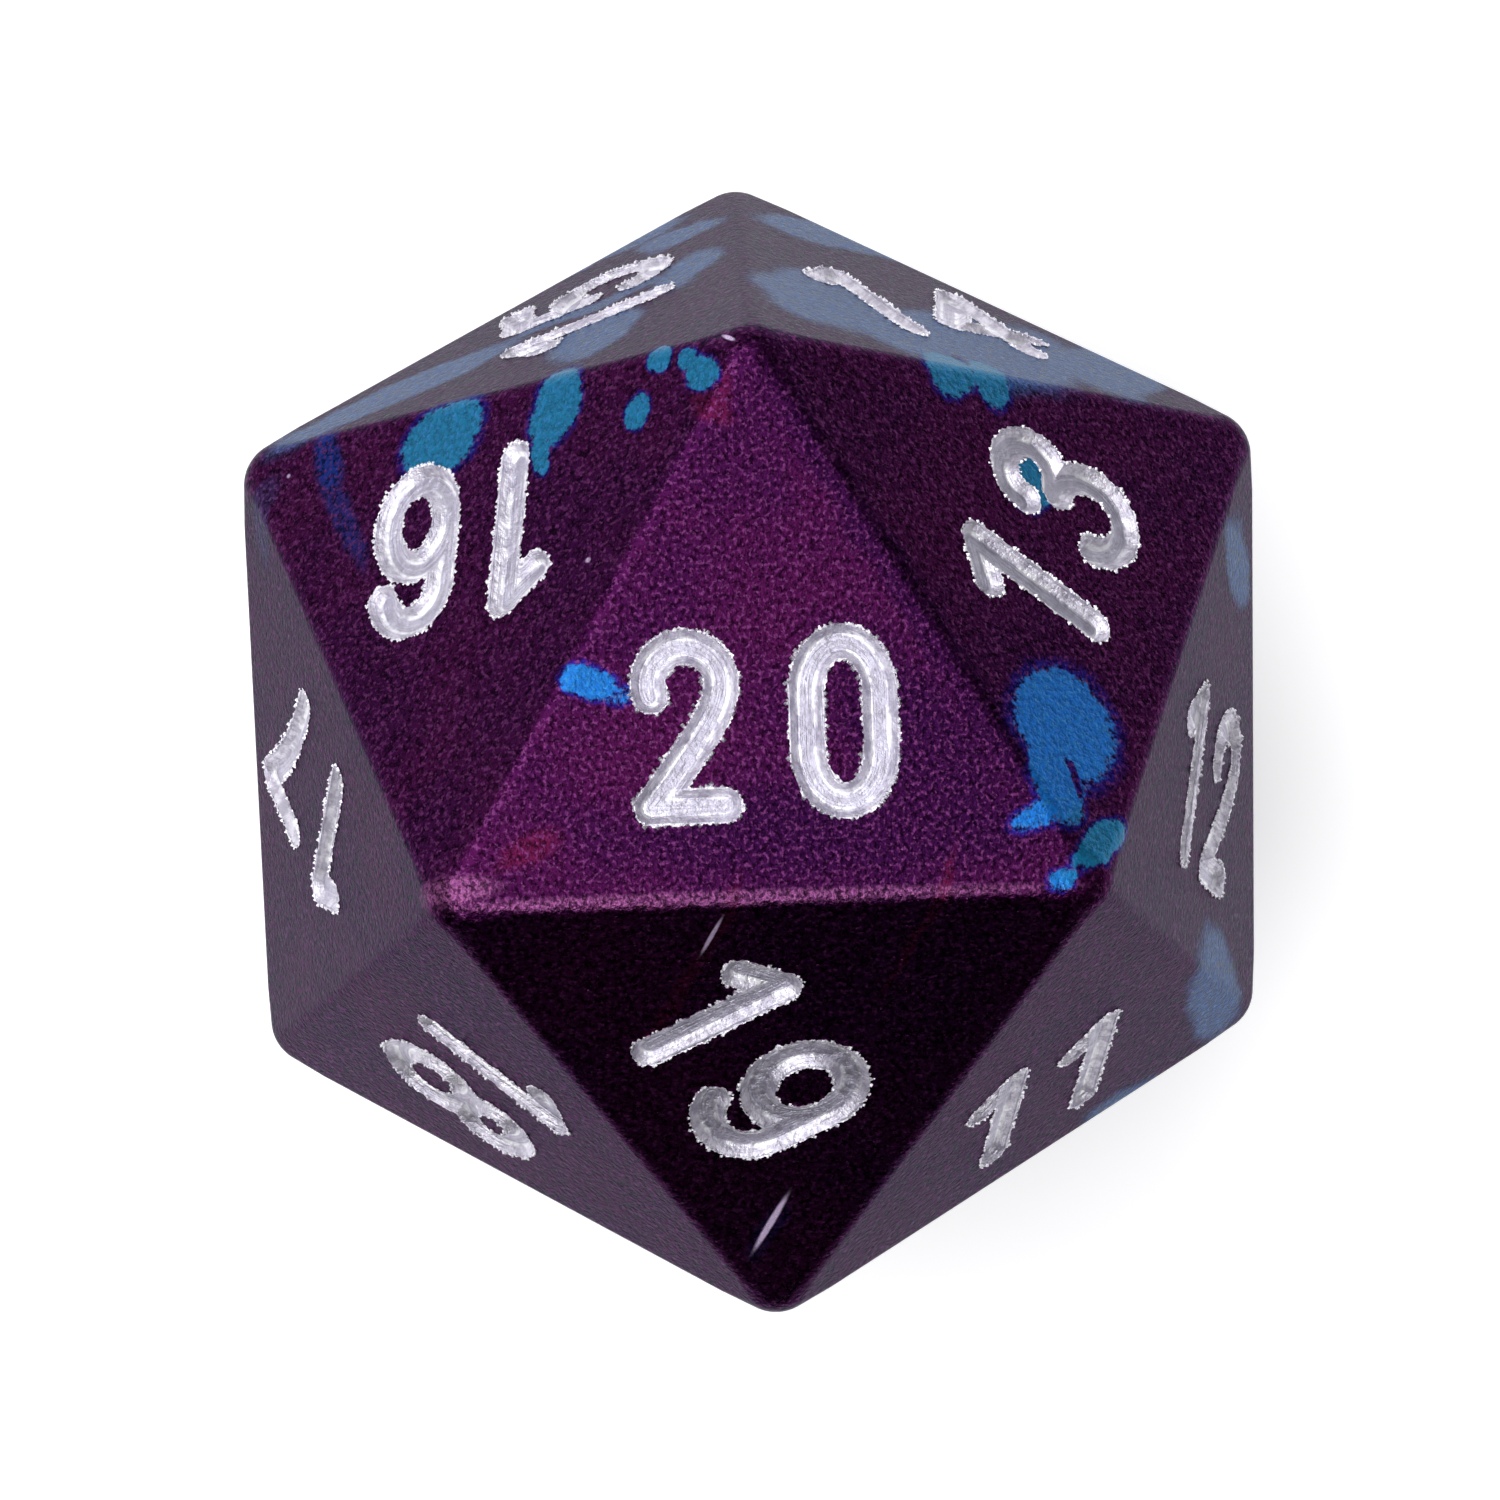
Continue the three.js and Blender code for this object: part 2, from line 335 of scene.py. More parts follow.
def crossings(outline):
    """The points that an outline passes more than once."""
    points, times = np.unique(outline[:, 0], return_counts=True)
    return points[times > 1]


def region(distance_of, low, high, step):
    """A flat mesh of the points where distance_of is under 0. Grid points near the outline
    are moved on to it. Returns points, faces and the outline's edges."""
    xs = np.arange(low[0] - step, high[0] + 2 * step, step)
    ys = np.arange(low[1] - step, high[1] + 2 * step, step)
    points = np.stack(np.meshgrid(xs, ys, indexing="ij"), axis=-1).reshape(-1, 2)
    gap, way = distance_of(points)
    near = np.abs(gap) < step / 2
    for _ in range(2):
        points[near] -= way[near] * gap[near][:, None]
        gap[near], way[near] = distance_of(points[near])
    inside = near | (gap < 0)
    k = np.arange(len(points)).reshape(len(xs), len(ys))
    cells = np.stack([k[:-1, :-1], k[1:, :-1], k[1:, 1:], k[:-1, 1:]], axis=-1).reshape(-1, 4)
    kept = inside[cells]
    corners_in = kept.sum(axis=1)
    quads = cells[corners_in == 4]
    halves = cells[corners_in == 3][kept[corners_in == 3]].reshape(-1, 3)
    faces = [quads, halves]
    outline = outline_of(faces, len(points))
    while len(crossings(outline)):
        faces = [f[~np.isin(f, crossings(outline)).any(axis=1)] for f in faces]
        outline = outline_of(faces, len(points))
    used = np.unique(np.concatenate([f.ravel() for f in faces]))
    quads, halves = (np.searchsorted(used, f) for f in faces)
    return points[used], quads.tolist() + halves.tolist(), np.searchsorted(used, outline)


def groove_height(distance):
    """Height over the face of the cut surface, at a distance from the centreline."""
    slope = GROOVE_DEPTH / (GROOVE_HALF_WIDTH - FLOOR_HALF_WIDTH)
    wall = (distance - GROOVE_HALF_WIDTH) * slope
    return np.clip(wall, -GROOVE_DEPTH, 0)


def lining_mesh(mark, seed):
    """The bare metal of one groove: the cut surface, its ragged lip, and a plain underside
    that sits in the body's seat."""
    strokes = Strokes(mark.strokes)
    coarse, fine = waves(seed, 9, 0.7, 0.25), waves(seed + 300, 9, 0.16, 0.09)

    def outside(points):
        distance, way = strokes.nearest(points)
        rag = 0.35 * coarse(points) + 0.5 * fine(points)
        return distance - LIP_REACH - LIP_RAG * np.clip(rag, -0.45, 1), way

    points, faces, outline = region(outside, mark.low - MARGIN, mark.high + MARGIN, GRID)
    distance, way = strokes.nearest(points)
    inner = np.ones(len(points), bool)
    inner[outline.ravel()] = False
    crease = inner & (np.abs(distance - FLOOR_HALF_WIDTH) < GRID * 0.45)
    points[crease] += (way * (FLOOR_HALF_WIDTH - distance)[:, None])[crease]
    distance, way = strokes.nearest(points)
    chatter = waves(seed + 500, 8, 0.5, 0.12)(points)
    height = groove_height(distance) + CHATTER_HEIGHT * chatter * inner
    lip = LIP_HEIGHT * (1 + waves(seed + 900, 8, 0.35, 0.1)(points))
    height = np.where(inner, height, np.maximum(lip, LEAST_LIP))
    foot = np.where(distance > LINING_HALF_WIDTH, FLAT_FOOT, -LINING_FOOT)
    count = len(points)
    verts = [*mark.face.spread(points, height), *mark.face.spread(points, foot)]
    tris = faces + [[i + count for i in reversed(f)] for f in faces]
    tris += [[b, a, a + count, b + count] for a, b in outline.tolist()]
    return verts, tris, np.tile(distance, 2), rim_beads(points, way, outline, seed)


def rim_beads(points, way, outline, seed):
    """Middles and radii of the beads of metal that the cutter pushed out along the rim."""
    draw = random.Random(seed)
    ends = sorted(set(outline[:, 0].tolist()))
    wanted = int(len(ends) * GRID / BEAD_SPACING)
    return [
        (points[i] + way[i] * draw.uniform(*BEAD_SCATTER), draw.uniform(*BEAD_RADII))
        for i in draw.sample(ends, min(wanted, len(ends)))
    ]


def add_piece(name, mesh, node):
    """Put a finished mesh in the scene, in place of the CAD node that it stands for."""
    piece = bpy.data.objects.new(name, mesh)
    bpy.context.scene.collection.objects.link(piece)
    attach(piece, "root")
    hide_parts(node)


def build_lining(mark, seed, material):
    """The visible piece for one digit or bar: its lining, and the beads round its rim."""
    verts, faces, distance, beads = lining_mesh(mark, seed)
    for (x, y), radius in beads:
        first = len(verts)
        for step in (-radius, radius):
            verts.append(mark.face.place(x + step, y, LIP_HEIGHT))
            verts.append(mark.face.place(x, y + step, LIP_HEIGHT))
            verts.append(mark.face.place(x, y, LIP_HEIGHT + step))
        faces += [[first + i for i in f] for f in BEAD_FACES]
    mesh = bpy.data.meshes.new(mark.node + "_cut")
    mesh.from_pydata([tuple(Vector(v) * MM) for v in verts], [], faces)
    mesh.materials.append(material)
    values = np.full(len(mesh.vertices), LIP_REACH)
    values[:len(distance)] = distance
    mesh.attributes.new("from_centreline", "FLOAT", "POINT").data.foreach_set("value", values)
    mesh.polygons.foreach_set("use_smooth", [True] * len(mesh.polygons))
    mesh.set_sharp_from_angle(angle=math.radians(SHARP_ANGLE))
    add_piece(mark.node + "_cut", mesh, mark.node)


# ---------------------------------------------------------------- body
def bend(centre, radius, ends):
    """An arc of points round a centre, each with its outward direction."""
    ways = [ends[0].lerp(ends[1], i / ROUND_STEPS).normalized() for i in range(ROUND_STEPS + 1)]
    return [(centre + way * radius, way) for way in ways]


def ball_rows(ball, radial, ends):
    """The part of a corner's ball between its tip and one edge, as rows that shorten."""
    rows = []
    for i in range(ROUND_STEPS + 1):
        left = ROUND_STEPS - i
        ways = [(radial * i + ends[0] * (left - k) + ends[1] * k).normalized() for k in range(left + 1)]
        rows.append([(ball + way * CORNER_RADIUS, way) for way in ways])
    return rows


def rounded_skin(bm, outward):
    """Every round of the die: a ball in each corner, a finer round along each edge, and a
    blend between the two."""
    def join(row, following):
        rows = [[bm.verts.new(point) for point, _ in r] for r in (row, following)]
        for made, source in zip(rows, (row, following)):
            for vert, (_, way) in zip(made, source):
                vert[outward] = way
        for k in range(len(row) - 1):
            beyond = rows[1][k + 1:k + 2] if len(row) == len(following) else []
            bm.faces.new([rows[0][k], rows[0][k + 1], *beyond, rows[1][k]])
            if not beyond and k + 1 < len(following):
                bm.faces.new([rows[0][k + 1], rows[1][k + 1], rows[1][k]])

    for corner in CORNERS:
        touching = [c for c in CORNERS if joined(c, corner)]
        radial = corner.normalized()
        ball = corner * (1 - CORNER_RADIUS / INRADIUS)
        for other in touching:
            beside = [c for c in touching if joined(c, other)]
            ends = [(corner + other + c).normalized() for c in beside]
            rows = ball_rows(ball, radial, ends)
            for row, following in zip(rows, rows[1:]):
                join(row, following)
            half = edge_end(corner, other, ball, ends)
            join(rows[0], half)
            if CORNERS.index(corner) < CORNERS.index(other):
                far = edge_end(other, corner, other * (1 - CORNER_RADIUS / INRADIUS), ends)
                join(half, far)


def edge_end(corner, other, ball, ends):
    """The arc where an edge's own round ends, near a corner."""
    along = (other - corner).normalized()
    core = corner * (1 - EDGE_RADIUS / INRADIUS)
    return bend(core + along * ((ball - core).dot(along) + BLEND_LENGTH), EDGE_RADIUS, ends)


def rim_of(bm, face):
    """The outline of a flat in its own plane, from the rounds that meet it."""
    touching = [v.co for v in bm.verts if abs(v.co.dot(face.out) - INRADIUS) < MERGE]
    spots = face.flat([p + CENTRE for p in touching])
    spots = np.unique(np.round(spots, 3), axis=0)
    return spots[np.argsort(np.arctan2(spots[:, 1], spots[:, 0]))]


def seat_outlines(marks):
    """The outlines, in a face's plane, of the seats of all its digits."""
    strokes = Strokes([s for m in marks for s in m.strokes])
    low = np.min([m.low for m in marks], axis=0) - MARGIN
    high = np.max([m.high for m in marks], axis=0) + MARGIN

    def outside(points):
        distance, way = strokes.nearest(points)
        return distance - SEAT_HALF_WIDTH, way

    points, _, outline = region(outside, low, high, SEAT_GRID)
    return strokes, points, outline


def flat_with_seats(face, rim):
    """One flat of the die: its skin, and a straight-sided seat under each digit. rim is the
    flat's outline in its own plane."""
    marks = [m for m in MARKS if m.face is face]
    strokes, points, outline = seat_outlines(marks)
    ends = np.unique(outline).tolist()
    index = {old: len(rim) + n for n, old in enumerate(ends)}
    flat = [Vector(p) for p in rim] + [Vector(points[i]) for i in ends]
    edges = [(i, (i + 1) % len(rim)) for i in range(len(rim))]
    edges += [(index[a], index[b]) for a, b in outline]
    spots, _, tris, *_ = geometry.delaunay_2d_cdt(flat, edges, [], 1, 1e-6)
    spots = np.array([tuple(s) for s in spots])
    middles = np.array([spots[list(t)].mean(axis=0) for t in tris])
    distance, _ = strokes.nearest(middles)
    sunk = distance < SEAT_HALF_WIDTH
    verts = [*face.spread(spots, 0), *face.spread(spots, -SEAT_DEPTH)]
    count = len(spots)
    faces = [[i + (count if low else 0) for i in t] for t, low in zip(tris, sunk)]
    skin = {(t[k - 1], t[k]) for t, low in zip(tris, sunk) if not low for k in range(3)}
    floor = {(t[k - 1], t[k]) for t, low in zip(tris, sunk) if low for k in range(3)}
    walls = [(b, a) for a, b in floor if (b, a) in skin]
    faces += [[a, a + count, b + count, b] for a, b in walls]
    return verts, faces


def build_body(material):
    bm = bmesh.new()
    outward = bm.verts.layers.float_vector.new("outward")
    rounded_skin(bm, outward)
    rims = {face: rim_of(bm, face) for face in FACES.values()}
    for face, rim in rims.items():
        verts, faces = flat_with_seats(face, rim)
        new = [bm.verts.new(Vector(v) - CENTRE) for v in verts]
        for v in new:
            v[outward] = face.out
        for f in faces:
            bm.faces.new([new[i] for i in f])
    bmesh.ops.delete(bm, geom=[v for v in bm.verts if not v.link_faces], context="VERTS")
    bmesh.ops.remove_doubles(bm, verts=bm.verts, dist=MERGE)
    bmesh.ops.recalc_face_normals(bm, faces=bm.faces)
    for v in bm.verts:
        v.co = (v.co + CENTRE) * MM
    mesh = bpy.data.meshes.new("anodised_body")
    bm.to_mesh(mesh)
    bm.free()
    mesh.materials.append(material)
    shade_rounds(mesh)
    add_piece("anodised_body", mesh, "die_body")


def shade_rounds(mesh):
    """Shade the skin by its true outward directions, and the seats' walls flat."""
    mesh.polygons.foreach_set("use_smooth", [True] * len(mesh.polygons))
    ways = [Vector(d.vector) for d in mesh.attributes["outward"].data]
    normals = [None] * len(mesh.loops)
    for polygon in mesh.polygons:
        for loop in polygon.loop_indices:
            way = ways[mesh.loops[loop].vertex_index]
            normals[loop] = way if way.dot(polygon.normal) > 0.8 else polygon.normal.copy()
    mesh.normals_split_custom_set(normals)
    mesh.attributes.remove(mesh.attributes["outward"])


# ---------------------------------------------------------------- materials
class Nodes:
    """A short way to add shader nodes and link them."""

    def __init__(self, tree):
        self.tree = tree

    def feed(self, socket, value):
        """Link a socket to another, or set it to a plain value."""
        if isinstance(value, bpy.types.NodeSocket):
            self.tree.links.new(value, socket)
        else:
            socket.default_value = value

    def add(self, kind, inputs=None, **settings):
        node = self.tree.nodes.new("ShaderNode" + kind)
        for name, value in settings.items():
            setattr(node, name, value)
        for name, value in (inputs or {}).items():
            self.feed(node.inputs[name], value)
        return node

    def math(self, operation, a, b=0.0, clamp=False):
        node = self.add("Math", {0: a, 1: b}, operation=operation, use_clamp=clamp)
        return node.outputs[0]

    def noise(self, vector, scale, detail=2.0, roughness=0.5):
        values = {"Vector": vector, "Scale": scale, "Detail": detail, "Roughness": roughness}
        return self.add("TexNoise", values).outputs["Fac"]

    def step(self, value, low, high, to_low=0.0, to_high=1.0):
        """A smooth ramp between two values."""
        values = {"Value": value, "From Min": low, "From Max": high, "To Min": to_low, "To Max": to_high}
        return self.add("MapRange", values, interpolation_type="SMOOTHSTEP").outputs[0]

    def mix(self, factor, a, b):
        """A blend of two colours."""
        node = self.add("Mix", {"Factor": factor, 6: a, 7: b}, data_type="RGBA")
        return node.outputs[2]


def new_material(name):
    material = bpy.data.materials.new(name)
    material.use_nodes = True
    material.node_tree.nodes.clear()
    nodes = Nodes(material.node_tree)
    shader = nodes.add("BsdfPrincipled")
    output = nodes.add("OutputMaterial")
    material.node_tree.links.new(shader.outputs[0], output.inputs[0])
    return material, nodes, shader


def millimetres(nodes):
    """Object coordinates in millimetres."""
    spot = nodes.add("TexCoord").outputs["Object"]
    return nodes.add("VectorMath", {0: spot, 3: 1 / MM}, operation="SCALE").outputs[0]


# Marks in the dye, as soft ovals on the faces: face, x, y, half length, half width, turn in
# degrees, strength.
SPLASHES = [
    # left of the 2, with a thin tail that reaches it, and two flecks in the right corner
    (20, -3.75, 0.75, 0.6, 0.4, -10, 1.0),
    (20, -3.1, 0.45, 0.5, 0.25, -10, 0.52),
    (20, 5.8, -2.5, 0.6, 0.35, 30, 0.66),
    (20, 6.4, -3.9, 0.4, 0.3, 10, 0.7),
    # a big splash under the 1, with a leg, and a patch in the corner
    (13, -4.0, -2.0, 1.45, 1.4, 0, 1.0),
    (13, -5.4, -2.2, 1.0, 0.7, 40, 1.0),
    (13, -6.2, -3.8, 0.9, 0.5, -25, 1.0),
    # inside the top of the 3, and two drops over it
    (13, 1.5, 0.75, 0.9, 0.7, -15, 1.0),
    (13, 2.8, 3.5, 0.85, 0.6, 0, 1.0),
    (13, 3.25, 2.5, 0.8, 0.5, 30, 1.0),
    # at the foot of the 6, and at the foot of the 1 with a tail beside it
    (16, 1.2, -3.4, 1.15, 0.9, 15, 1.0),
    (16, -2.0, -3.5, 1.0, 0.65, 85, 1.0),
    (16, -1.75, -2.25, 0.5, 0.25, 90, 0.8),
    # four drops towards the corner
    (16, -4.75, -4.0, 0.45, 0.35, -70, 1.0),
    (16, -4.25, -2.75, 0.45, 0.35, -70, 1.0),
    (16, -6.1, -3.35, 0.5, 0.4, -40, 1.0),
    (16, -5.6, -3.8, 0.3, 0.25, -80, 0.9),
    # invented, on faces that the photograph doesn't show
    (5, 2.5, -3.0, 1.1, 0.8, 10, 1.0),
    (7, -3.5, -2.5, 0.9, 0.6, 60, 1.0),
    (2, 3.75, -2.75, 0.9, 0.6, 0, 1.0),
    (9, 4.5, -2.5, 0.7, 0.5, -30, 1.0),
    (1, -4.0, -2.75, 1.2, 0.7, 35, 1.0),
]
BANDS = [
    # round the two digits, and a long one that runs on past their tops
    (15, 5.8, -1.4, 1.5, 0.9, 85, 1.0),
    (15, 4.8, 0.6, 2.4, 0.5, -60, 1.0),
    (15, 0.5, -2.8, 1.5, 0.7, -15, 0.8),
    (15, -2.2, -0.5, 1.6, 1.1, -15, 1.0),
    (15, 0.0, 4.5, 2.9, 0.9, 95, 1.0),
    (15, 0.6, -0.2, 2.4, 0.4, 90, 0.7),
    (15, 4.1, -2.7, 1.1, 0.8, 70, 0.8),
    # over the 14, and a wide one that runs under both its digits
    (14, 1.0, 5.25, 2.2, 1.0, -10, 0.9),
    (14, -2.9, -0.7, 2.6, 1.7, 50, 1.0),
    (14, -0.75, -1.75, 2.6, 1.3, 40, 1.0),
    (14, 1.5, -2.0, 3.0, 1.8, 40, 1.0),
    (14, 4.5, -2.0, 2.2, 1.3, 45, 1.0),
    # along the outline at the right, and a faint one at the left
    (12, 0.25, 5.25, 1.4, 0.8, -25, 0.8),
    (11, 5.5, -1.25, 3.0, 0.9, -75, 0.8),
    (11, 3.25, -4.5, 1.6, 0.8, -35, 0.7),
    (17, 5.5, -4.0, 1.3, 0.6, -60, 0.3),
    # invented, on faces that the photograph doesn't show
    (10, -2.5, 1.5, 2.4, 1.3, 20, 0.9),
    (8, 2.0, 3.0, 2.0, 1.0, -50, 0.8),
    (7, -3.0, -2.5, 2.5, 1.1, 60, 0.9),
    (4, -4.0, -2.5, 2.6, 1.3, 50, 0.9),
    (3, 3.0, -2.0, 2.0, 0.9, 20, 0.7),
]
# A notch in the big splash.
GAPS = [(13, -5.1, -2.6, 0.45, 0.15, 40, 0.75)]
STREAKS = [
    (16, 4.5, -3.5, 1.0, 0.4, -75, 1.0),
    (16, 3.9, -2.0, 1.6, 0.3, -62, 0.6),
    (19, 4.7, -3.0, 0.9, 0.25, -55, 0.5),
]
# Nicks and scratches through the dye: two on the 19, specks beside the 16, one on the top corner.
SCRATCHES = [
    (19, 4.5, -2.75, 0.9, 0.08, -55, 1.0),
    (19, -3.5, 0.5, 0.55, 0.05, -55, 0.7),
    (16, -3.3, 0.6, 0.07, 0.06, 0, 0.5),
    (16, 5.7, -3.4, 0.05, 0.05, 0, 0.5),
    (20, -0.5, 8.25, 0.15, 0.05, -30, 0.7),
]
RED_TINTS = [
    (20, -5.25, -3.0, 0.75, 0.3, 30, 0.2),
    (20, -0.75, 7.0, 0.6, 0.3, 70, 0.16),
    (16, -6.25, -2.5, 0.5, 0.3, -40, 0.2),
    (19, -2.75, -0.5, 2.6, 0.16, -55, 0.2),
    (19, -1.25, 4.5, 2.0, 0.12, -55, 0.2),
]
# Painted highlight: pale pink painted along the bottom edge of the 20 and in its left corner.
PAINTED_EDGE_HIGHLIGHTS = [
    (20, -7.0, -3.75, 1.0, 0.3, 5, 0.45),
    (20, -1.0, -4.1, 7.0, 0.16, 0, 0.35),
]
# Painted shade: darker purple painted over the lower and right parts of the 20 and over most of the 19.
PAINTED_SHADE_MARKS = [
    (20, 1.5, -2.75, 5.0, 1.1, 0, 0.8),
    (20, 3.25, -0.75, 2.6, 1.3, -55, 0.8),
    (20, 3.5, 2.0, 6.0, 0.45, -60, 0.8),
    (19, -1.0, 3.0, 4.0, 3.0, 0, 0.6),
]
# Where the blue is teal, though it lies below the middle of the 20.
TEAL_PATCHES = [(13, -6.2, -3.8, 1.2, 0.9, -25, 1.0)]


# Colours of the dye, and of the painted shade, highlights and glints on it, as linear red, green, blue
# and alpha.
PURPLE = (0.033, 0.0034, 0.036, 1)
WARM_PURPLE = (0.045, 0.0040, 0.038, 1)
# painted shade colour
PAINTED_SHADE_PURPLE = (0.020, 0.0026, 0.030, 1)
RED_DYE = (0.20, 0.012, 0.020, 1)
STREAK_BLUE = (0.012, 0.026, 0.17, 1)
# painted highlight colour, for the bottom edge of the 20
PAINTED_HIGHLIGHT_PINK = (0.34, 0.11, 0.27, 1)
INDIGO_RIM = (0.018, 0.008, 0.15, 1)
BLUE = (0.004, 0.120, 0.45, 1)
TEAL = (0.004, 0.135, 0.27, 1)
BAND_BLUE = (0.010, 0.060, 0.21, 1)
# painted glints: bright grains of highlight painted into the colour
PURPLE_GLINT = (0.130, 0.028, 0.120, 1)
BLUE_GLINT = (0.020, 0.17, 0.42, 1)
SCRATCH_METAL = (0.78, 0.60, 0.90, 1)


def marked(nodes, spot, marks):
    """The greatest of a set of soft ovals on the faces, at a point."""
    total = None
    for number, x, y, along, across, turn, strength in marks:
        face = FACES[number]
        basis = Matrix((face.right, face.up, face.out)).transposed()
        spun = basis @ Matrix.Rotation(math.radians(turn), 3, "Z")
        values = {
            "Vector": spot,
            "Location": face.place(x, y),
            "Rotation": spun.to_euler(),
            "Scale": (along, across, MARK_DEPTH),
        }
        local = nodes.add("Mapping", values, vector_type="TEXTURE").outputs[0]
        reach = nodes.add("VectorMath", {0: local}, operation="LENGTH").outputs["Value"]
        one_mark = nodes.step(reach, 1.4, 0.6, 0.0, strength)
        total = one_mark if total is None else nodes.math("MAXIMUM", total, one_mark)
    return total


def wavering(nodes, spot, scale, reach):
    """Points pushed about a little, so that the outline of a mark wavers."""
    wobble = nodes.add("TexNoise", {"Vector": spot, "Scale": scale, "Detail": 3.0}).outputs["Color"]
    away = nodes.add("VectorMath", {0: wobble, 1: (0.5, 0.5, 0.5)}, operation="SUBTRACT").outputs[0]
    push = {0: away, 1: (reach, reach, reach), 2: spot}
    return nodes.add("VectorMath", push, operation="MULTIPLY_ADD").outputs[0]


def marks_in_dye(nodes, spot, bent, fleck):
    """The purple dye, with its redder and bluer places, painted shade in darker places, and grains of
    painted highlight along an edge.
    """
    cloud = nodes.noise(spot, 0.35, 4.0, 0.6)
    purple = nodes.mix(nodes.step(cloud, 0.35, 0.65), PURPLE, WARM_PURPLE)
    # painted shade over parts of the 20 and the 19
    purple = nodes.mix(marked(nodes, bent, PAINTED_SHADE_MARKS), purple, PAINTED_SHADE_PURPLE)
    purple = nodes.mix(marked(nodes, bent, RED_TINTS), purple, RED_DYE)
    purple = nodes.mix(marked(nodes, bent, STREAKS), purple, STREAK_BLUE)
    # painted highlight along the edge of the 20, broken into grains
    flecks = nodes.step(fleck, 0.42, 0.6, 0.3, 1.7)
    edge_highlight = nodes.math("MULTIPLY", marked(nodes, spot, PAINTED_EDGE_HIGHLIGHTS), flecks)
    return nodes.mix(edge_highlight, purple, PAINTED_HIGHLIGHT_PINK)


def splashed(nodes, bent, grain):
    """Where the splashes lie, as a soft mask, and the same with its edge broken by grain."""
    gaps = nodes.math("SUBTRACT", 1.0, marked(nodes, bent, GAPS))
    mask = nodes.math("MULTIPLY", marked(nodes, bent, SPLASHES), gaps)
    edge = nodes.math("MULTIPLY", mask, nodes.math("SUBTRACT", 1.0, mask))
    speckle = nodes.math("MULTIPLY", nodes.math("SUBTRACT", grain, 0.5), 4.0)
    broken = nodes.math("ADD", mask, nodes.math("MULTIPLY", edge, speckle))
    return mask, nodes.step(broken, 0.35, 0.65)


def blue_dye(nodes, spot, inside):
    """Blue that turns to teal towards the top of the 20, and is thinner in the bands than in
    a splash."""
    upward = nodes.add("SeparateXYZ", {0: spot}).outputs["Y"]
    patches = marked(nodes, spot, TEAL_PATCHES)
    teal = nodes.math("MAXIMUM", nodes.step(upward, 0.0, 4.0), patches)
    return nodes.mix(inside, BAND_BLUE, nodes.mix(teal, BLUE, TEAL))


def anodised_skin():
    """Purple dye in a blasted metal surface, with splashes and thinner bands of blue."""
    material, nodes, shader = new_material("anodised_skin")
    spot = millimetres(nodes)
    bent = wavering(nodes, spot, 0.9, 0.7)
    grain = nodes.noise(spot, 7.0, 3.0, 0.65)
    fleck = nodes.noise(spot, 9.0, 2.0, 0.6)
    mask, inside = splashed(nodes, bent, grain)
    bands = marked(nodes, wavering(nodes, spot, 0.6, 1.3), BANDS)
    blued = nodes.math("MAXIMUM", inside, nodes.step(bands, 0.1, 0.8, 0.0, 0.75))
    scratch = marked(nodes, spot, SCRATCHES)
    purple = marks_in_dye(nodes, spot, bent, fleck)
    purple = nodes.mix(nodes.step(mask, 0.02, 0.35), purple, INDIGO_RIM)
    dye = nodes.mix(blued, purple, blue_dye(nodes, spot, inside))
    pits = nodes.step(grain, 0.38, 0.56, 0.35, 1.1)
    pits = nodes.math("MAXIMUM", pits, nodes.math("MULTIPLY", blued, 0.82))
    dye = nodes.add("VectorMath", {0: dye, 3: pits}, operation="SCALE").outputs[0]
    # painted glints: bright grains painted into the colour of the purple and the blue
    glint = nodes.mix(blued, PURPLE_GLINT, BLUE_GLINT)
    colour = nodes.mix(nodes.step(fleck, 0.50, 0.68, 0.0, 0.8), dye, glint)
    colour = nodes.mix(scratch, colour, SCRATCH_METAL)
    dull = nodes.math("MAXIMUM", blued, scratch)
    rough = nodes.math("MULTIPLY", grain, 0.8)
    height = nodes.math("ADD", rough, nodes.math("MULTIPLY", fleck, 0.6))
    bump = nodes.add("Bump", {"Strength": 0.7, "Distance": 0.00005, "Height": height})
    nodes.feed(shader.inputs["Base Color"], colour)
    nodes.feed(shader.inputs["Metallic"], nodes.step(dull, 0.0, 1.0, 1.0, 0.6))
    nodes.feed(shader.inputs["Roughness"], nodes.step(grain, 0.3, 0.7, 0.25, 0.37))
    nodes.feed(shader.inputs["Normal"], bump.outputs[0])
    shader.inputs["Specular Tint"].default_value = (0.52, 0.56, 0.57, 1)
    return material


# Colours of the cut metal: its dull floor, the cutter's lines in it, its walls, and the painted
# highlight on its creases and rim.
DULL_FLOOR = (0.43, 0.405, 0.49, 1)
LIGHT_FLOOR = (0.54, 0.515, 0.62, 1)
CUTTER_LINE = (0.72, 0.70, 0.79, 1)
DULL_WALL = (0.51, 0.48, 0.57, 1)
LIGHT_WALL = (0.79, 0.76, 0.84, 1)
# painted highlight colour, for the creases and the burrs of the rim
PAINTED_HIGHLIGHT_METAL = (0.95, 0.94, 0.98, 1)


def cutter_lines(nodes, spot, distance):
    """Fine lines that run along a groove, beside one another across it."""
    slow = nodes.add("VectorMath", {0: spot, 3: 0.6}, operation="SCALE").outputs[0]
    lane = nodes.add("CombineXYZ", {"X": nodes.math("MULTIPLY", distance, 18.0)}).outputs[0]
    lanes = nodes.add("VectorMath", {0: slow, 1: lane}, operation="ADD").outputs[0]
    return nodes.noise(lanes, 1.0, 2.0, 0.6)


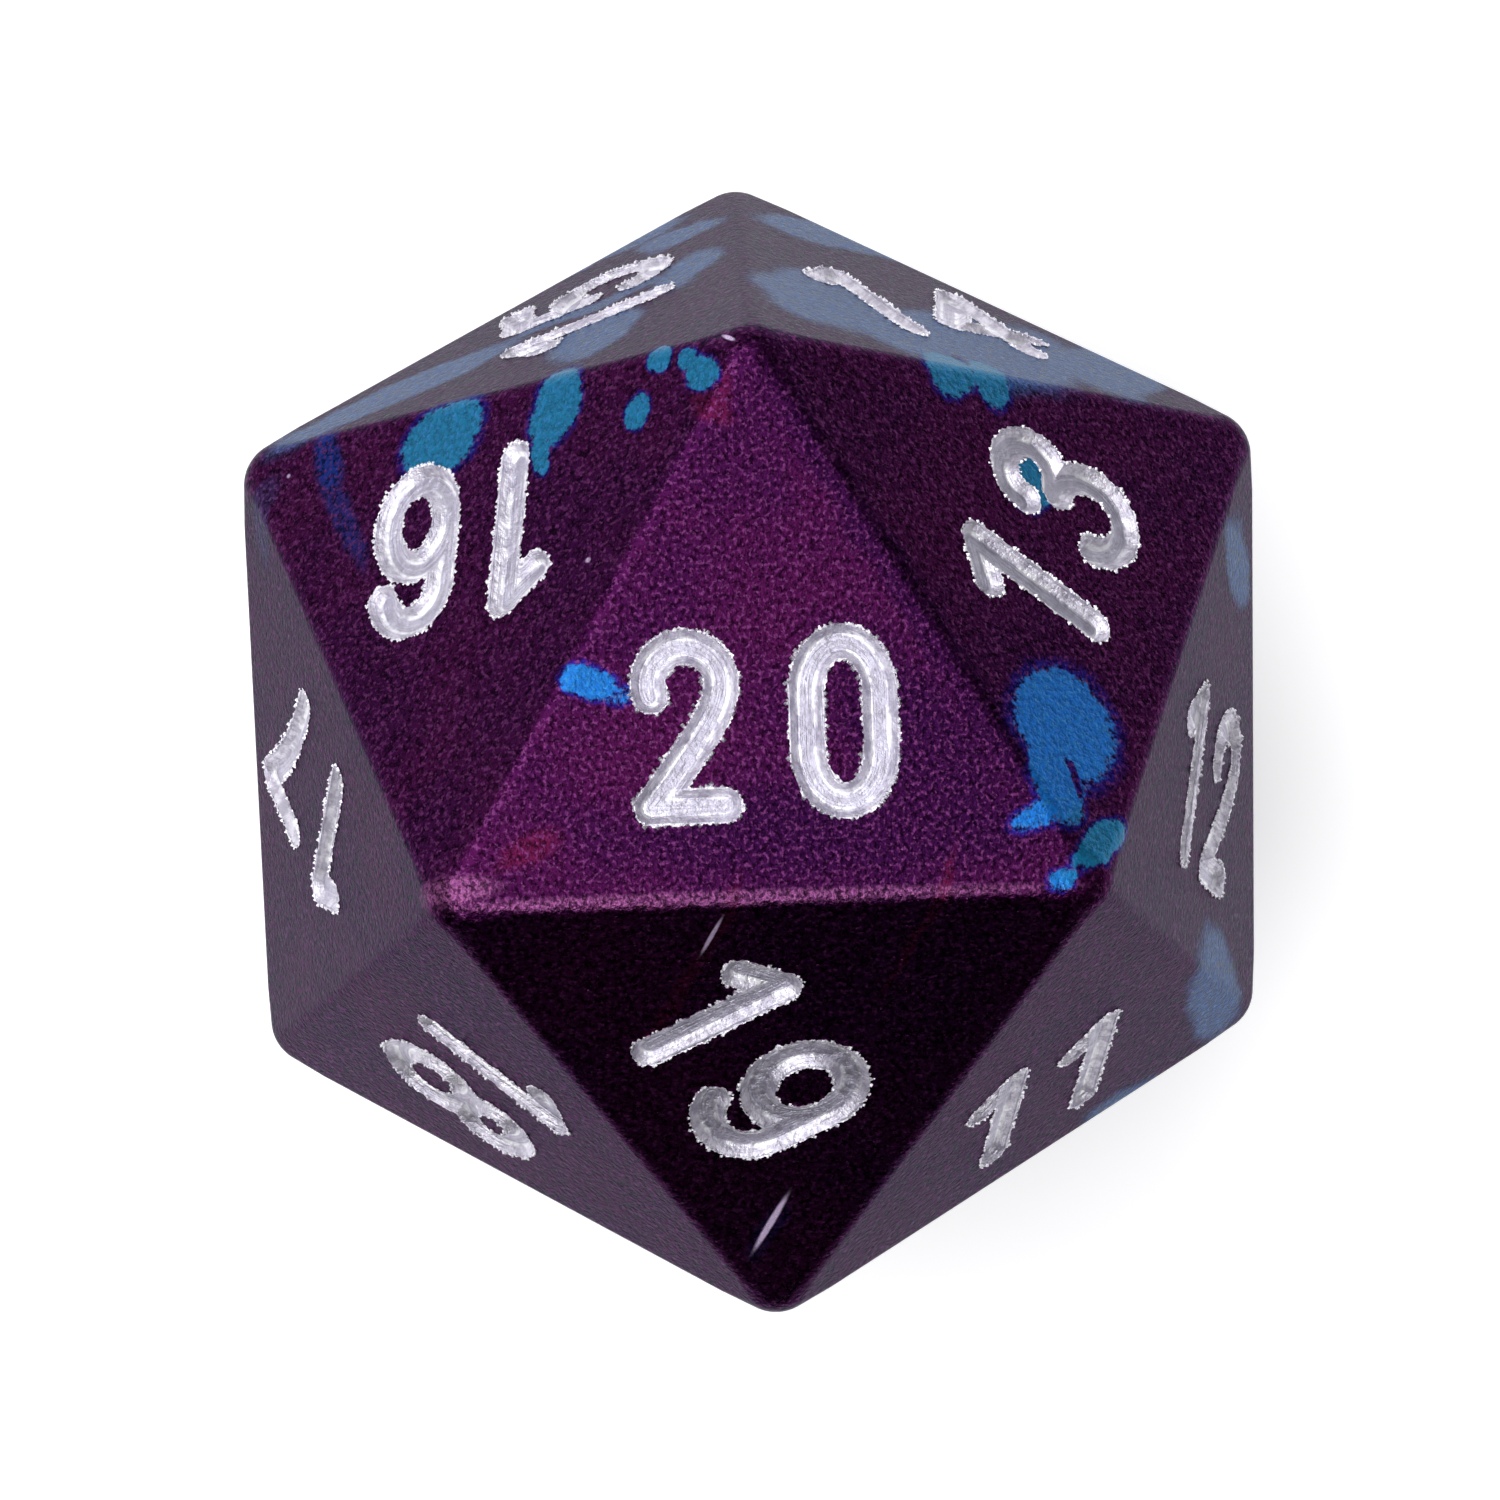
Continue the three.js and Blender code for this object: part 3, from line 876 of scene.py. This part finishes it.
def bare_metal():
    """Freshly cut aluminium, with the cutter's marks along each groove, and a painted highlight along
    the line where its floor meets its walls and on the burrs of its rim."""
    material, nodes, shader = new_material("bare_metal")
    spot = millimetres(nodes)
    distance = nodes.add("Attribute", attribute_name="from_centreline").outputs["Fac"]
    lines = cutter_lines(nodes, spot, distance)
    chatter = nodes.noise(spot, 7.0, 3.0, 0.7)
    patch = nodes.noise(spot, 3.0, 4.0, 0.65)
    stretch = nodes.noise(spot, 1.6, 3.0, 0.6)
    patches = nodes.step(patch, 0.38, 0.62)
    floor = nodes.mix(patches, DULL_FLOOR, LIGHT_FLOOR)
    floor = nodes.mix(nodes.step(lines, 0.45, 0.6, 0.0, 0.45), floor, CUTTER_LINE)
    wall = nodes.mix(patches, DULL_WALL, LIGHT_WALL)
    beyond = nodes.math("SUBTRACT", distance, FLOOR_HALF_WIDTH)
    colour = nodes.mix(nodes.step(beyond, 0.0, 0.05), floor, wall)
    # painted highlight: a bright line where the floor meets the walls, and bright burrs on the rim
    crease = nodes.step(nodes.math("ABSOLUTE", beyond), 0.08, 0.02)
    crease = nodes.math("MULTIPLY", crease, nodes.step(stretch, 0.42, 0.58))
    rim = nodes.step(distance, GROOVE_HALF_WIDTH, LIP_REACH)
    burr_highlight = nodes.math("MULTIPLY", rim, nodes.step(chatter, 0.4, 0.55))
    colour = nodes.mix(nodes.math("MAXIMUM", crease, burr_highlight), colour, PAINTED_HIGHLIGHT_METAL)
    ridges = nodes.math("MULTIPLY", lines, 0.8)
    height = nodes.math("ADD", ridges, nodes.math("MULTIPLY", chatter, 0.9))
    height = nodes.math("ADD", height, nodes.math("MULTIPLY", patch, 1.4))
    bump = nodes.add("Bump", {"Strength": 1.0, "Distance": 0.00004, "Height": height})
    nodes.feed(shader.inputs["Base Color"], colour)
    shader.inputs["Metallic"].default_value = 1.0
    nodes.feed(shader.inputs["Roughness"], nodes.step(chatter, 0.35, 0.65, 0.42, 0.60))
    nodes.feed(shader.inputs["Normal"], bump.outputs[0])
    return material


# ---------------------------------------------------------------- stage, light and camera
def build_floor():
    size = 600 * MM
    bm = bmesh.new()
    bmesh.ops.create_grid(bm, x_segments=1, y_segments=1, size=size)
    mesh = bpy.data.meshes.new("floor")
    bm.to_mesh(mesh)
    bm.free()
    material, nodes, shader = new_material("pale_floor")
    spot = millimetres(nodes)
    shade = nodes.step(nodes.noise(spot, 0.05, 2.0), 0.3, 0.7)
    tone = nodes.mix(shade, (0.88, 0.88, 0.885, 1), (0.91, 0.91, 0.915, 1))
    nodes.feed(shader.inputs["Base Color"], tone)
    shader.inputs["Roughness"].default_value = 0.9
    shader.inputs["Specular IOR Level"].default_value = 0.1
    shader.inputs["Emission Color"].default_value = (1, 1, 1, 1)
    shader.inputs["Emission Strength"].default_value = 0.36
    mesh.materials.append(material)
    floor = bpy.data.objects.new("floor", mesh)
    bpy.context.scene.collection.objects.link(floor)


def softbox(name, azimuth, elevation, distance, size, radiance):
    """An area light that faces the die; radiance is what a mirror would show."""
    light = bpy.data.lights.new(name, "AREA")
    light.shape = "RECTANGLE"
    light.size, light.size_y = (s * MM for s in size)
    light.energy = radiance * math.pi * light.size * light.size_y
    a, e = math.radians(azimuth), math.radians(elevation)
    way = Vector((math.cos(e) * math.cos(a), math.cos(e) * math.sin(a), math.sin(e)))
    lamp = bpy.data.objects.new(name, light)
    lamp.location = (CENTRE + way * distance) * MM
    lamp.rotation_euler = way.to_track_quat("Z", "Y").to_euler()
    bpy.context.scene.collection.objects.link(lamp)


def black_card(azimuth, distance, width, height):
    """A black card standing on the floor, which only reflections in the die can see."""
    a = math.radians(azimuth)
    way, side = Vector((math.cos(a), math.sin(a), 0)), Vector((-math.sin(a), math.cos(a), 0))
    foot = way * distance
    half, rise = side * (width / 2), Vector((0, 0, height))
    points = [foot - half, foot + half, foot + half + rise, foot - half + rise]
    mesh = bpy.data.meshes.new("black_card")
    mesh.from_pydata([p * MM for p in points], [], [(0, 1, 2, 3)])
    material, _, shader = new_material("black_card")
    shader.inputs["Base Color"].default_value = (0.02, 0.02, 0.02, 1)
    shader.inputs["Roughness"].default_value = 1.0
    mesh.materials.append(material)
    card = bpy.data.objects.new("black_card", mesh)
    bpy.context.scene.collection.objects.link(card)
    card.visible_camera = False
    card.visible_diffuse = False
    card.visible_shadow = False


def build_lights():
    softbox("overhead", 200, 80, 330, (200, 220), 1.3)
    softbox("left_box", 150, 46, 330, (240, 220), 1.75)
    softbox("back_box", 105, 55, 330, (220, 160), 1.8)
    softbox("right_box", -35, 45, 360, (200, 160), 0.8)
    softbox("front_strip", -118, 58, 330, (240, 100), 5.5)
    black_card(-90, 42, 180, 40)


def build_world():
    world = bpy.data.worlds.new("studio")
    bpy.context.scene.world = world
    world.use_nodes = True
    world.node_tree.nodes.clear()
    nodes = Nodes(world.node_tree)
    way = nodes.add("TexCoord").outputs["Generated"]
    parts = nodes.add("SeparateXYZ", {0: way})
    glow = nodes.step(parts.outputs["Z"], -0.05, 0.9, 0.15, 0.9)
    shade = nodes.step(parts.outputs["Y"], -0.7, 0.2, 0.15, 1.0)
    side = nodes.step(parts.outputs["X"], -0.4, 0.6, 1.15, 0.5)
    strength = nodes.math("MULTIPLY", glow, nodes.math("MULTIPLY", shade, side))
    seen = nodes.add("LightPath").outputs["Is Camera Ray"]  # the backdrop itself looks white
    strength = nodes.math("MAXIMUM", strength, seen)
    background = nodes.add("Background", {"Color": (0.97, 0.98, 1.0, 1), "Strength": strength})
    output = nodes.add("OutputWorld")
    world.node_tree.links.new(background.outputs[0], output.inputs[0])


def build_camera():
    data = bpy.data.cameras.new("camera")
    data.lens = CAMERA_LENS
    data.sensor_width = SENSOR
    data.clip_start = 0.005
    data.clip_end = 20
    data.dof.use_dof = False
    camera = bpy.data.objects.new("camera", data)
    camera.location = (CENTRE + Vector(CAMERA_PLACE)) * MM
    camera.rotation_euler = Euler([math.radians(a) for a in CAMERA_TILT], "XYZ")
    bpy.context.scene.collection.objects.link(camera)
    bpy.context.scene.camera = camera


def main():
    scene = bpy.context.scene
    scene.view_settings.view_transform = "Standard"
    build_camera()
    build_world()
    build_lights()
    build_floor()
    build_body(anodised_skin())
    metal = bare_metal()
    for seed, mark in enumerate(MARKS, 1):
        build_lining(mark, seed, metal)


main()
